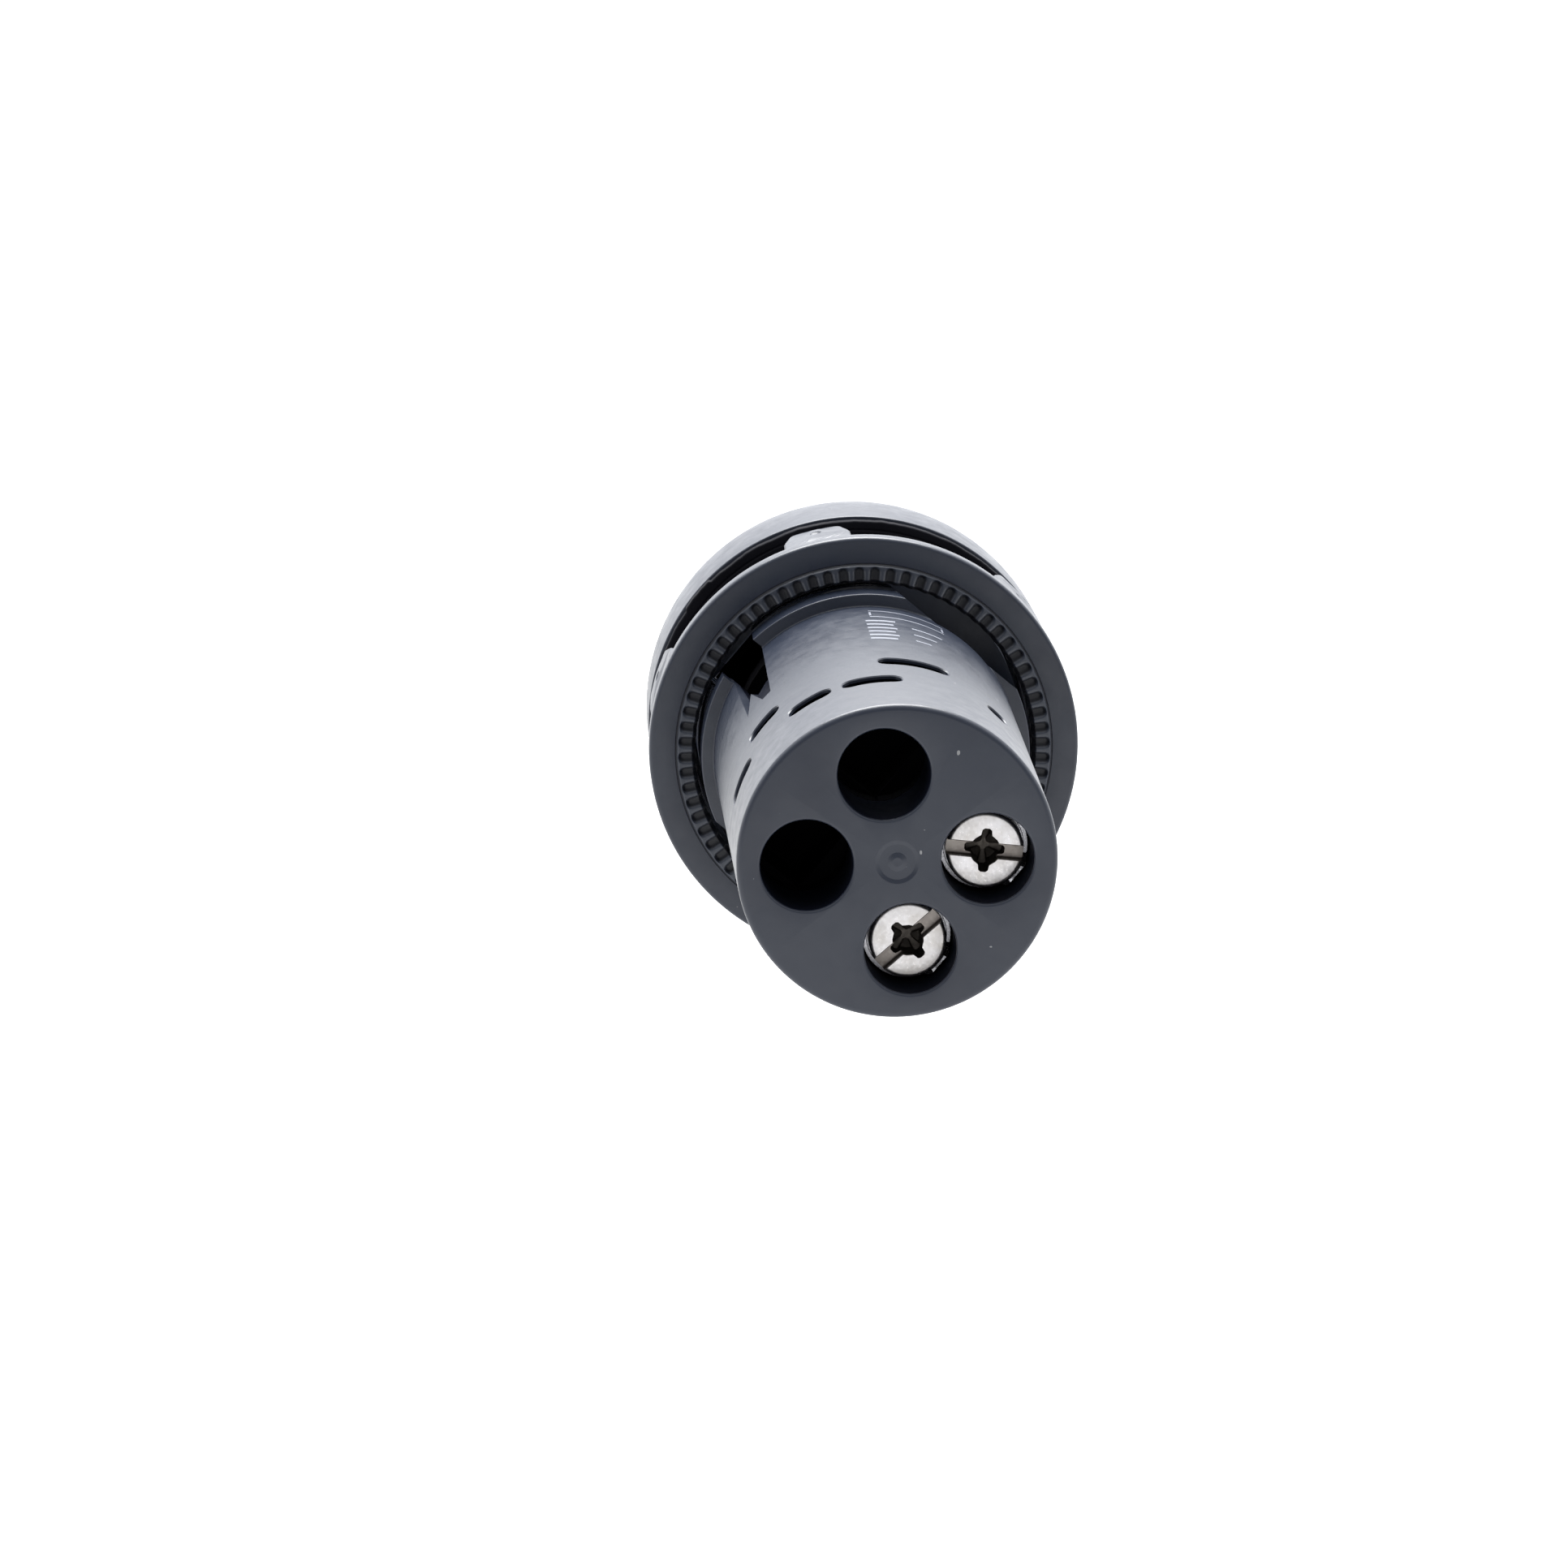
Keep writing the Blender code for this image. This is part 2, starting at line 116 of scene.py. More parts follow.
# The thread and the plain collar behind it.
THREAD_PITCH = 1.5 * MM
THREAD_DEPTH = 0.62 * MM
THREAD_START_Y = 0.3 * MM
COLLAR_Y = 8.5 * MM
COLLAR_END_Y = 10.2 * MM
REAR_WALL = 5.5 * MM

# Latch slots on each side: middle (from V) and half length in degrees, and place along the axis.
LATCH_SLOTS = ((-19.4, 8.8, 32.7 * MM), (19.4, 8.8, 32.7 * MM), (43.6, 10.9, 32.7 * MM),
               (94.0, 4.7, 31.0 * MM), (61.1, 13.2, 27.4 * MM), (-0.8, 8.1, 28.6 * MM))

# The ring nut.
NUT_REAR_Y = NUT_RING_Y - 0.3 * MM
NUT_FLANGE = 1.3 * MM
NUT_TABS = 6
TAB_ANGLE = math.radians(77.7)
RIBS = 72
RIB_ANGLE = math.radians(0.74)      # middle of the first rib
GROOVE_HALF = 0.285 * MM
GROOVE_END_R = 12.2 * MM            # centre of a groove's round outer end
GROOVE_DEPTH = 0.29 * MM
RING_R = 12.56 * MM                 # top outer edge of the fluted ring

# Terminals: the screws' places, their slots' headings, and the directions that the layout follows.
DRIVER_SLOT_DEPTH = 0.6 * MM
SCREW_TURNS = (math.radians(186), math.radians(139))
SCREWS = [sum(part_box("terminal_screw_%d" % number), Vector()) / 2 for number in (1, 2)]
for screw_centre in SCREWS:
    screw_centre.y = 0
U = (SCREWS[0] - SCREWS[1]).normalized()
V = -(SCREWS[0] + SCREWS[1]).normalized()
WELL_U = (SCREWS[0] - SCREWS[1]).length / 2
WELL_V = (SCREWS[0] + SCREWS[1]).length / 2


def at(u, v, y):
    """Point at distances u and v from the axis along U and V."""
    return U * u + V * v + Vector((0, y, 0))


def around(angle, radius, y):
    """Point at a heading and a radius about the axis."""
    return Vector((radius * math.cos(angle), y, radius * math.sin(angle)))


def smooth_step(low, high, value):
    """Rises smoothly from 0 at low to 1 at high; low may be the larger of the two."""
    share = min(1.0, max(0.0, (value - low) / (high - low)))
    return share * share * (3 - 2 * share)


# ---------------------------------------------------------------- mesh tools

def rounded(corners, steps=5):
    """Points of a closed outline of corners (a, b, radius), each rounded to its radius by an arc."""
    points = []
    for index, (a, b, radius) in enumerate(corners):
        corner = Vector((a, b))
        if not radius:
            points.append((a, b))
            continue
        before = (Vector(corners[index - 1][:2]) - corner).normalized()
        after = (Vector(corners[(index + 1) % len(corners)][:2]) - corner).normalized()
        half = before.angle(after) / 2
        centre = corner + (before + after).normalized() * radius / math.sin(half)
        start = corner + before * radius / math.tan(half) - centre
        end = corner + after * radius / math.tan(half) - centre
        sweep = math.atan2(start.cross(end), start.dot(end))
        for step in range(steps + 1):
            points.append(tuple(centre + Matrix.Rotation(sweep * step / steps, 2) @ start))
    return points


def divided(points, spacing, chosen=lambda start, end: True):
    """The closed outline with extra points on its chosen sides, no further apart than the spacing."""
    made = []
    for index, point in enumerate(points):
        following = points[(index + 1) % len(points)]
        if not chosen(point, following):
            made.append(point)
            continue
        start = Vector(point)
        end = Vector(following)
        parts = max(1, math.ceil((end - start).length / spacing))
        made += [tuple(start.lerp(end, part / parts)) for part in range(parts)]
    return made


def grown(outline, distance):
    """A closed outline of (a, b) points moved outwards by a distance; it may run either way round."""
    turning = sum(a[0] * b[1] - b[0] * a[1] for a, b in zip(outline, outline[1:] + outline[:1]))
    side = distance if turning > 0 else -distance
    made = []
    for index, point in enumerate(outline):
        here = Vector(point)
        before = (here - Vector(outline[index - 1])).normalized()
        after = (Vector(outline[(index + 1) % len(outline)]) - here).normalized()
        normal = Vector((before.y + after.y, -before.x - after.x)).normalized()
        made.append(tuple(here + normal * side / max(0.5, normal.dot(Vector((after.y, -after.x))))))
    return made


def loft(levels, closed=False):
    """A bmesh through rings of points with the same count: capped at its ends, or closed on itself."""
    made = bmesh.new()
    rings = [[made.verts.new(point) for point in level] for level in levels]
    for low, high in zip(rings, rings[1:] + rings[:1] if closed else rings[1:]):
        for index, corner in enumerate(low):
            after = (index + 1) % len(low)
            made.faces.new((corner, low[after], high[after], high[index]))
    if not closed:
        made.faces.new(rings[0])
        made.faces.new(rings[-1])
    bmesh.ops.recalc_face_normals(made, faces=made.faces)
    return made


def turned(profile, segments=SEGMENTS, centre=Vector(), shape=None):
    """A closed profile of (radius, y) spun about Y; shape(angle, radius, y) may change a point."""
    made = bmesh.new()
    rings = []
    for radius, y in profile:
        if radius == 0:
            rings.append([made.verts.new(centre + Vector((0, y, 0)))] * segments)
            continue
        ring = []
        for step in range(segments):
            angle = math.tau * step / segments
            place = shape(angle, radius, y) if shape else (radius, y)
            ring.append(made.verts.new(centre + around(angle, *place)))
        rings.append(ring)
    for index, ring in enumerate(rings):
        following = rings[(index + 1) % len(rings)]
        for step in range(segments):
            after = (step + 1) % segments
            corners = dict.fromkeys((ring[step], ring[after], following[after], following[step]))
            if len(corners) > 2:
                made.faces.new(list(corners))
    bmesh.ops.recalc_face_normals(made, faces=made.faces)
    return made


def swept(path, radius):
    """A round wire through the points of a path that winds about the Y axis, with closed ends."""
    sides = 12
    levels = []
    for index, point in enumerate(path):
        ahead = path[min(index + 1, len(path) - 1)] - path[max(index - 1, 0)]
        outwards = Vector((point.x, 0, point.z)).normalized()
        across = ahead.cross(outwards).normalized()
        outwards = across.cross(ahead).normalized()
        ring = []
        for side in range(sides):
            angle = math.tau * side / sides
            ring.append(point + (outwards * math.cos(angle) + across * math.sin(angle)) * radius)
        levels.append(ring)
    return loft(levels)


def scene_object(name, mesh_data):
    mesh = bpy.data.meshes.new(name)
    mesh_data.to_mesh(mesh)
    mesh_data.free()
    made = bpy.data.objects.new(name, mesh)
    bpy.context.scene.collection.objects.link(made)
    return made


def combined(body, tools, operation="DIFFERENCE"):
    """The body after an exact Boolean with all the tools; the body and the tools are bmeshes."""
    target = scene_object("target", body)
    group = bpy.data.collections.new("tools")
    bpy.context.scene.collection.children.link(group)
    for number, tool in enumerate(tools):
        made = scene_object("tool_%d" % number, tool)
        bpy.context.scene.collection.objects.unlink(made)
        group.objects.link(made)
    modifier = target.modifiers.new("combine", "BOOLEAN")
    modifier.operand_type = "COLLECTION"
    modifier.collection = group
    modifier.operation = operation
    modifier.solver = "EXACT"
    result = bmesh.new()
    result.from_object(target, bpy.context.evaluated_depsgraph_get())
    for spent in [target, *group.objects]:
        bpy.data.meshes.remove(spent.data)
    bpy.data.collections.remove(group)
    return result


def piece(name, mesh_data, body, surface, nodes=(), edge=SHARP_EDGE):
    """A finished piece that rides on a body, and stands for the CAD nodes given."""
    made = scene_object(name, mesh_data)
    made.data.shade_smooth()
    made.data.set_sharp_from_angle(angle=edge)
    made.data.materials.append(surface)
    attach(made, body)
    if nodes:
        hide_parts(*nodes)
    return made


# ---------------------------------------------------------------- materials

def add_node(tree, kind, links=(), **inputs):
    """A node with its inputs set by name, and links given as (input name, source socket)."""
    made = tree.nodes.new(kind)
    for name, value in inputs.items():
        made.inputs[name.replace("_", " ")].default_value = value
    for name, source in links:
        tree.links.new(source, made.inputs[name])
    return made


def noise_value(tree, place, scale, detail, roughness=0.5):
    found = add_node(tree, "ShaderNodeTexNoise", [("Vector", place)], Scale=scale, Detail=detail,
                     Roughness=roughness)
    return found.outputs["Fac"]


def ranged(tree, value, from_low, from_high, to_low, to_high):
    """Maps a value from one range to another, and clamps it."""
    found = add_node(tree, "ShaderNodeMapRange", [("Value", value)], From_Min=from_low,
                     From_Max=from_high, To_Min=to_low, To_Max=to_high)
    return found.outputs["Result"]


def mixed_color(tree, factor, first, second):
    """Mixes two colours by a factor socket; each colour is a tuple or a socket."""
    mix = tree.nodes.new("ShaderNodeMix")
    mix.data_type = "RGBA"
    tree.links.new(factor, mix.inputs["Factor"])
    for index, color in ((6, first), (7, second)):
        if isinstance(color, tuple):
            mix.inputs[index].default_value = (*color, 1)
        else:
            tree.links.new(color, mix.inputs[index])
    return mix.outputs[2]


def surface_material(name, build, **constants):
    """A Principled material; build(tree, place) returns its color, roughness, height and bump depth."""
    made = bpy.data.materials.new(name)
    made.use_nodes = True
    tree = made.node_tree
    shader = tree.nodes["Principled BSDF"]
    place = tree.nodes.new("ShaderNodeTexCoord").outputs["Object"]
    color, roughness, height, depth = build(tree, place)
    tree.links.new(color, shader.inputs["Base Color"])
    tree.links.new(roughness, shader.inputs["Roughness"])
    bump = add_node(tree, "ShaderNodeBump", [("Height", height)], Strength=1.0, Distance=depth)
    tree.links.new(bump.outputs["Normal"], shader.inputs["Normal"])
    for socket, value in constants.items():
        shader.inputs[socket.replace("_", " ")].default_value = value
    return made


def moulded(name, dark, light, gloss, grain, dust=0.0, **constants):
    """Moulded plastic: cloudy tone, fine spark-eroded grain, scuffs, and a few specks of dust."""
    def build(tree, place):
        cloud = noise_value(tree, place, 160, 3)
        streak = noise_value(tree, place, 900, 4, 0.6)
        fine = noise_value(tree, place, 7000, 3, 0.6)
        tone = mixed_color(tree, ranged(tree, cloud, 0.35, 0.65, 0, 1), dark, light)
        if dust:
            specks = noise_value(tree, place, 1700, 0)
            share = ranged(tree, specks, 0.88, 0.895, 0, dust)
            tone = mixed_color(tree, share, tone, (0.5, 0.5, 0.5))
        roughness = ranged(tree, streak, 0.3, 0.7, gloss - 0.05, gloss + 0.06)
        return tone, roughness, fine, grain

    return surface_material(name, build, **constants)


def fluted():
    """Housing plastic on the nut's ring: the rib tops get a painted highlight, lighter than the
    housing, and the groove floors a painted shade, near black.
    """
    def build(tree, place):
        cloud = noise_value(tree, place, 400, 3)
        fine = noise_value(tree, place, 7000, 3, 0.6)
        split = add_node(tree, "ShaderNodeSeparateXYZ", [("Vector", place)])
        # By height: 0 at the groove floors and 1 on the rib tops; it fades the painted shade into the
        # painted highlight, and sets the roughness.
        top = ranged(tree, split.outputs["Y"], NUT_RING_Y - 0.2 * MM, NUT_RING_Y - 0.02 * MM, 0, 1)
        rib_top_painted_highlight = mixed_color(tree, ranged(tree, cloud, 0.35, 0.65, 0, 1), (0.020, 0.025, 0.038),
                                (0.026, 0.032, 0.046))
        tone = mixed_color(tree, top, (0.004, 0.005, 0.009), rib_top_painted_highlight)
        return tone, ranged(tree, top, 0, 1, 0.6, 0.4), fine, 0.000003

    return surface_material("fluted_plastic", build)


def metal(name, bright, dull, gloss, grain):
    """Plated or rolled metal: blotchy tarnish, fine pits and scratched roughness."""
    def build(tree, place):
        cloud = noise_value(tree, place, 700, 4, 0.65)
        pits = noise_value(tree, place, 6000, 3, 0.7)
        tone = mixed_color(tree, ranged(tree, cloud, 0.35, 0.7, 0, 1), bright, dull)
        roughness = ranged(tree, pits, 0.3, 0.75, gloss - 0.08, gloss + 0.12)
        return tone, roughness, pits, grain

    return surface_material(name, build, Metallic=1.0)


HOUSING = moulded("housing_plastic", (0.010, 0.014, 0.026), (0.013, 0.018, 0.031), 0.36, 0.000003, 0.4)
# Painted shade: the inner faces of the barrel's shell (bore, wells, windows, slots) get this
# near-black, dull plastic in place of the shade that falls in them.
BORE = moulded("housing_bore_painted_shade", (0.004, 0.005, 0.009), (0.006, 0.007, 0.012), 0.6, 0.000004,
               Specular_IOR_Level=0.3, IOR=1.1)
CAP = moulded("button_plastic", (0.004, 0.004, 0.005), (0.006, 0.006, 0.007), 0.3, 0.000002,
              Specular_IOR_Level=0.3)
INNER = moulded("inner_plastic", (0.003, 0.003, 0.004), (0.005, 0.005, 0.006), 0.7, 0.000004,
                Specular_IOR_Level=0.3, IOR=1.1)
FLUTED = fluted()
RUBBER = moulded("seal_rubber", (0.004, 0.004, 0.006), (0.007, 0.007, 0.010), 0.65, 0.000006, 0.2,
                 Specular_IOR_Level=0.3, IOR=1.2)
INK = moulded("print_ink", (0.10, 0.11, 0.14), (0.15, 0.16, 0.19), 0.6, 0.000003)
NICKEL = metal("nickel_plate", (0.62, 0.61, 0.62), (0.46, 0.44, 0.42), 0.34, 0.000003)
# Painted shade: darker metal for each screw's cross recess and, less dark, for its driver slot.
RECESS_SHADE = metal("recess_painted_shade", (0.10, 0.09, 0.08), (0.05, 0.045, 0.04), 0.5, 0.000003)
SLOT_SHADE = metal("slot_painted_shade", (0.26, 0.24, 0.22), (0.17, 0.15, 0.14), 0.42, 0.000003)
CLAMP = metal("clamp_plate", (0.66, 0.66, 0.70), (0.50, 0.50, 0.52), 0.3, 0.000003)
BRASS = metal("brass", (0.74, 0.56, 0.28), (0.60, 0.43, 0.20), 0.34, 0.000004)
SILVER = metal("contact_silver", (0.86, 0.85, 0.82), (0.74, 0.72, 0.68), 0.3, 0.000003)
STEEL = metal("spring_steel", (0.50, 0.50, 0.51), (0.40, 0.40, 0.42), 0.28, 0.000003)


# ---------------------------------------------------------------- barrel housing

def thread_shape(angle, radius, y):
    """Cuts the helical thread into the stud's outer wall, and lets it run out at both ends."""
    if radius <= BODY_R or not THREAD_START_Y < y < COLLAR_Y:
        return radius, y
    run_out = 0.5 * MM
    root_share = 0.2
    crest_share = 0.62
    phase = (y / THREAD_PITCH - angle / math.tau) % 1
    groove = smooth_step(crest_share, root_share, 1 - abs(2 * phase - 1))
    ends = smooth_step(THREAD_START_Y, THREAD_START_Y + run_out, y)
    ends *= smooth_step(COLLAR_Y, COLLAR_Y - run_out, y)
    return radius - THREAD_DEPTH * groove * ends, y


def well_cutter(u, v):
    """Round well through the rear wall, with a slightly rounded mouth and inner end."""
    mouth = 0.2 * MM
    steps = 6
    inner_y = REAR_Y - REAR_WALL
    low = inner_y - 1 * MM
    high = REAR_Y + 1 * MM
    profile = [(0, low), (WELL_R + mouth, low), (WELL_R + mouth, inner_y), (WELL_R, inner_y + mouth)]
    for step in range(steps + 1):
        turn = math.pi / 2 * step / steps
        profile.append((WELL_R + mouth * (1 - math.cos(turn)), REAR_Y - mouth * (1 - math.sin(turn))))
    profile += [(WELL_R + mouth, high), (0, high)]
    return turned(profile, SMALL_SEGMENTS, at(u, v, 0))


def slot_cutter(middle, half_angle, y, side):
    """Latch slot through the barrel's wall: a slit with round ends, undercut towards the front."""
    half_length = math.radians(half_angle) * BODY_R
    half_width = 0.95 * MM
    end = 0.7 * MM
    undercut = 3.4 * MM
    chamfer = 0.08 * MM
    corners = [(-half_length, -half_width, end), (half_length, -half_width, end),
               (half_length, half_width, end), (-half_length, half_width, end)]
    outline = divided(rounded(corners, 6), 0.5 * MM)
    levels = []
    for radius, growth, shift in ((BODY_BORE_R - 0.4 * MM, 0.001 * MM, undercut),
                                  (BODY_R - 0.25 * MM, 0.001 * MM, 0),
                                  (BODY_R - chamfer, 0.002 * MM, 0),
                                  (BODY_R + 0.02 * MM, chamfer, 0),
                                  (BODY_R + 0.6 * MM, chamfer, 0)):
        level = []
        for length, rise in grown(outline, growth):
            angle = math.radians(middle) + length / BODY_R
            forward = shift if rise < 0 else 0
            level.append(at(math.sin(angle) * radius * side, math.cos(angle) * radius * side,
                            y + rise - forward))
        levels.append(level)
    return loft(levels)


def window_cutter(side):
    """Wire window: two lobes with a pointed tongue between, whose ends lean forwards as they go in."""
    front = 3.6 * MM
    lean = 4.0 * MM
    rear = 23.0 * MM
    outline = [(1.3 * MM, front, lean), (1.05 * MM, rear, 7.5 * MM), (0.3 * MM, rear, 7.5 * MM),
               (-0.55 * MM, 18.4 * MM, 2 * MM), (-1.25 * MM, rear, 6 * MM), (-1.9 * MM, 8.5 * MM, 0),
               (-2.0 * MM, front, lean)]
    deep = [(u, y - reach) for u, y, reach in outline]
    shallow = [(u, y) for u, y, reach in outline]
    mouth = grown(shallow, 0.06 * MM)
    levels = []
    for v, points in ((6.5 * MM, deep), (9.4 * MM, deep), (BODY_R - 0.05 * MM, shallow),
                      (BODY_R + 0.05 * MM, mouth), (13 * MM, mouth)):
        levels.append([at(side * u, side * v, y) for u, y in points])
    return loft(levels)


def relief_cutter(side):
    """Wider front part of a wire window, where it cuts through the collar."""
    front = 3.8 * MM
    lean = 3.8 * MM
    rear = 8.7 * MM
    outline = [(1.24 * MM, front), (1.24 * MM, rear), (-3.3 * MM, rear), (-3.3 * MM, front)]
    levels = []
    for v, reach in ((6.6 * MM, lean), (9.3 * MM, lean), (BODY_R, 0), (13 * MM, 0)):
        levels.append([at(side * u, side * v, y - reach if y == front else y) for u, y in outline])
    return loft(levels)


def flat_cutter(side):
    """Flat along the thread that stops the stud turning; it leans inwards to its front end."""
    levels = []
    for y, low in ((3.0 * MM, FLAT_FRONT_U), (COLLAR_END_Y + 0.5 * MM, FLAT_U)):
        high = low + 4 * MM
        outline = [(low, -8 * MM), (high, -8 * MM), (high, 8 * MM), (low, 8 * MM)]
        levels.append([at(side * u, v, y) for u, v in outline])
    return loft(levels)


def round_normals(mesh, radius):
    """Points the corner normals of the faces that lie on a cylinder about Y straight outwards."""
    normals = []
    for polygon in mesh.polygons:
        corners = [mesh.vertices[index].co for index in polygon.vertices]
        on_round = all(abs(math.hypot(corner.x, corner.z) - radius) < 0.02 * MM for corner in corners)
        for corner in corners:
            normals.append(Vector((corner.x, 0, corner.z)).normalized() if on_round else Vector())
    mesh.normals_split_custom_set(normals)


def make_barrel():
    """The threaded stud and the terminal body in one shell, with its wells, windows and slots."""
    base_r = 12.6 * MM
    base_front = -3.4 * MM
    base_rear = -0.95 * MM
    shoulder = 1.4 * MM
    inner_y = REAR_Y - REAR_WALL
    gate = 1.4 * MM
    dish = 0.08 * MM
    corners = [(0, inner_y, 0), (BODY_BORE_R, inner_y, 0.3 * MM), (BODY_BORE_R, shoulder, 0.1 * MM),
               (CAP_BORE_R, shoulder, 0.1 * MM), (CAP_BORE_R, base_front, 0.1 * MM),
               (base_r, base_front, 0.1 * MM), (base_r, base_rear, 0.1 * MM),
               (THREAD_R, base_rear, 0.1 * MM), (THREAD_R, COLLAR_END_Y, 0.1 * MM),
               (BODY_R, COLLAR_END_Y, 0.12 * MM), (BODY_R, REAR_Y, 0.4 * MM), (gate, REAR_Y, 0.08 * MM),
               (gate - 0.25 * MM, REAR_Y - dish, 0.1 * MM), (0.62 * MM, REAR_Y - dish, 0.05 * MM),
               (0.3 * MM, REAR_Y, 0.25 * MM), (0, REAR_Y - 0.01 * MM, 0)]

    def threaded(start, end):
        outside = min(start[0], end[0]) > BODY_R + 0.5 * MM
        return outside and min(start[1], end[1]) > base_rear + 0.05 * MM

    profile = divided(rounded(corners), 0.15 * MM, threaded)
    body = turned(profile, SEGMENTS, shape=thread_shape)
    tools = []
    for side in (1, -1):
        tools += [window_cutter(side), relief_cutter(side), flat_cutter(side)]
        tools += [slot_cutter(*latch_slot, side) for latch_slot in LATCH_SLOTS]
        tools += [well_cutter(side * WELL_U, other * WELL_V) for other in (1, -1)]
    made = piece("barrel_shell", combined(body, tools), "housing", HOUSING,
                 ["barrel_housing"], math.radians(30))
    made.data.materials.append(BORE)
    # Faces inside the shell, short of the rear face, take the painted shade of the bore material.
    for polygon in made.data.polygons:
        inside = math.hypot(polygon.center.x, polygon.center.z) < BODY_R - 0.25 * MM
        polygon.material_index = 1 if inside and polygon.center.y < REAR_Y - 0.22 * MM else 0
    round_normals(made.data, BODY_R)


# ---------------------------------------------------------------- ring nut

def rib_shape(angle, radius, y):
    """Sinks the grooves between the ribs of the nut's raised ring; each has a round outer end."""
    if y < NUT_REAR_Y - 0.3 * MM or radius > RING_R + 0.14 * MM:
        return radius, y
    step = math.tau / RIBS
    across = ((angle - RIB_ANGLE) % step - step / 2) * radius
    along = max(0.0, radius - GROOVE_END_R)
    inside = smooth_step(GROOVE_HALF + 0.14 * MM, GROOVE_HALF - 0.14 * MM, math.hypot(across, along))
    rim = smooth_step(RING_R + 0.06 * MM, RING_R - 0.06 * MM, radius)
    return radius, y - GROOVE_DEPTH * inside * rim


def tab(number):
    """One of the nut's feet: a curved plate that narrows towards its tip, with rounded edges."""
    middle = TAB_ANGLE + math.tau * number / NUT_TABS
    mean_r = 14 * MM
    root = NUT_REAR_Y - NUT_FLANGE + 0.3 * MM
    shoulder = NUT_FRONT_Y + 1.8 * MM
    corners = [(-2.26 * MM, root, 0), (2.26 * MM, root, 0), (2.26 * MM, shoulder, 1.2 * MM),
               (1.7 * MM, NUT_FRONT_Y, 0.6 * MM), (-1.7 * MM, NUT_FRONT_Y, 0.6 * MM),
               (-2.26 * MM, shoulder, 1.2 * MM)]
    outline = divided(rounded(corners, 6), 0.4 * MM)
    levels = []
    for radius, growth in ((13.3, -0.1), (13.4, -0.001), (14.26, -0.001), (14.4, -0.05),
                           (14.49, -0.16)):
        level = []
        for length, y in grown(outline, growth * MM):
            level.append(around(middle + length / mean_r, radius * MM, y))
        levels.append(level)
    return loft(levels)


def dimple(number):
    """Small round ejector mark in the outer face of a tab."""
    middle = around(TAB_ANGLE + math.tau * number / NUT_TABS, NUT_R, NUT_FRONT_Y + 1.2 * MM)
    outwards = Vector((middle.x, 0, middle.z)).normalized()
    across = Vector((0, 1, 0)).cross(outwards)
    levels = []
    for depth, radius in ((0.13, 0.2), (0.1, 0.33), (0.01, 0.42), (-0.3, 0.42)):
        level = []
        for step in range(20):
            angle = math.tau * step / 20
            spread = across * math.cos(angle) + Vector((0, 1, 0)) * math.sin(angle)
            level.append(middle - outwards * depth * MM + spread * radius * MM)
        levels.append(level)
    return loft(levels)


def make_nut():
    """The nut's flange, hub and tabs, and the fluted ring that lies in a step of its rear face."""
    flange_y = NUT_REAR_Y - NUT_FLANGE
    step_y = NUT_REAR_Y - 0.45 * MM
    step_r = 12.74 * MM
    hub_y = 4.4 * MM
    hub_r = 12.6 * MM
    corners = [(SEAL_BORE_R, step_y, 0), (SEAL_BORE_R, hub_y, 0.2 * MM), (hub_r, hub_y, 0.2 * MM),
               (hub_r, flange_y, 0.3 * MM), (NUT_R, flange_y, 0.2 * MM), (NUT_R, NUT_REAR_Y, 0.28 * MM),
               (step_r, NUT_REAR_Y, 0.03 * MM), (step_r, step_y, 0)]
    body = turned(rounded(corners), SEGMENTS)
    body = combined(body, [tab(number) for number in range(NUT_TABS)], "UNION")
    body = combined(body, [dimple(number) for number in range(NUT_TABS)])
    piece("ring_nut_body", body, "nut", HOUSING, ["ring_nut"], math.radians(40))

    rim_r = step_r - 0.01 * MM
    floor_y = step_y + 0.01 * MM
    corners = [(rim_r, floor_y, 0), (rim_r, NUT_REAR_Y, 0.1 * MM), (RING_R, NUT_RING_Y, 0.1 * MM),
               (11.62 * MM, NUT_RING_Y, 0.06 * MM), (SEAL_BORE_R, NUT_RING_Y - 0.5 * MM, 0.05 * MM),
               (SEAL_BORE_R, floor_y, 0)]

    def grooved(start, end):
        return min(start[1], end[1]) > NUT_RING_Y - 0.55 * MM and max(start[0], end[0]) < RING_R

    profile = divided(rounded(corners), 0.07 * MM, grooved)
    ring = turned(profile, RIBS * 14, shape=rib_shape)
    piece("ring_nut_flutes", ring, "nut", FLUTED, ["ring_nut"], math.radians(75))


# ---------------------------------------------------------------- bezel, gasket and button

def make_bezel():
    """Domed ring around the button, which covers the stud's base."""
    rear = SEAL_FRONT_Y - 0.05 * MM
    base_r = 12.9 * MM
    base_front = -3.7 * MM
    dome_start = 5.0 * MM
    dome_r = 11.8 * MM
    steps = 24
    corners = [(base_r, rear, 0.05 * MM), (BEZEL_R, rear, 0.12 * MM)]
    for step in range(steps + 1):
        turn = math.radians(84) * step / steps
        corners.append((dome_r + (BEZEL_R - dome_r) * math.cos(turn),
                        -dome_start + (BEZEL_FRONT_Y + dome_start) * 0.985 * math.sin(turn), 0))
    corners += [(11.5 * MM, BEZEL_FRONT_Y, 0.2 * MM), (CAP_BORE_R, BEZEL_FRONT_Y, 0.3 * MM),
                (CAP_BORE_R, base_front, 0.1 * MM), (base_r, base_front, 0.1 * MM)]
    body = turned(rounded(corners), SEGMENTS)
    piece("bezel", body, "housing", HOUSING, ["bezel_ring"])


def gasket_shape(angle, radius, y):
    """Makes the gasket's outer edge slightly ragged, and steps it in beside its keyed stretch."""
    if radius < BEZEL_R - 0.5 * MM:
        return radius, y
    ragged = noise.noise(Vector((math.cos(angle), math.sin(angle), 0)) * 9) * 0.05 * MM
    ragged += noise.noise(Vector((math.cos(angle), math.sin(angle), 4)) * 40) * 0.03 * MM
    degrees = math.degrees(angle)
    step = 0 if 34 < degrees < 45 else 0.13 * MM
    return radius - 0.06 * MM + ragged - step, y


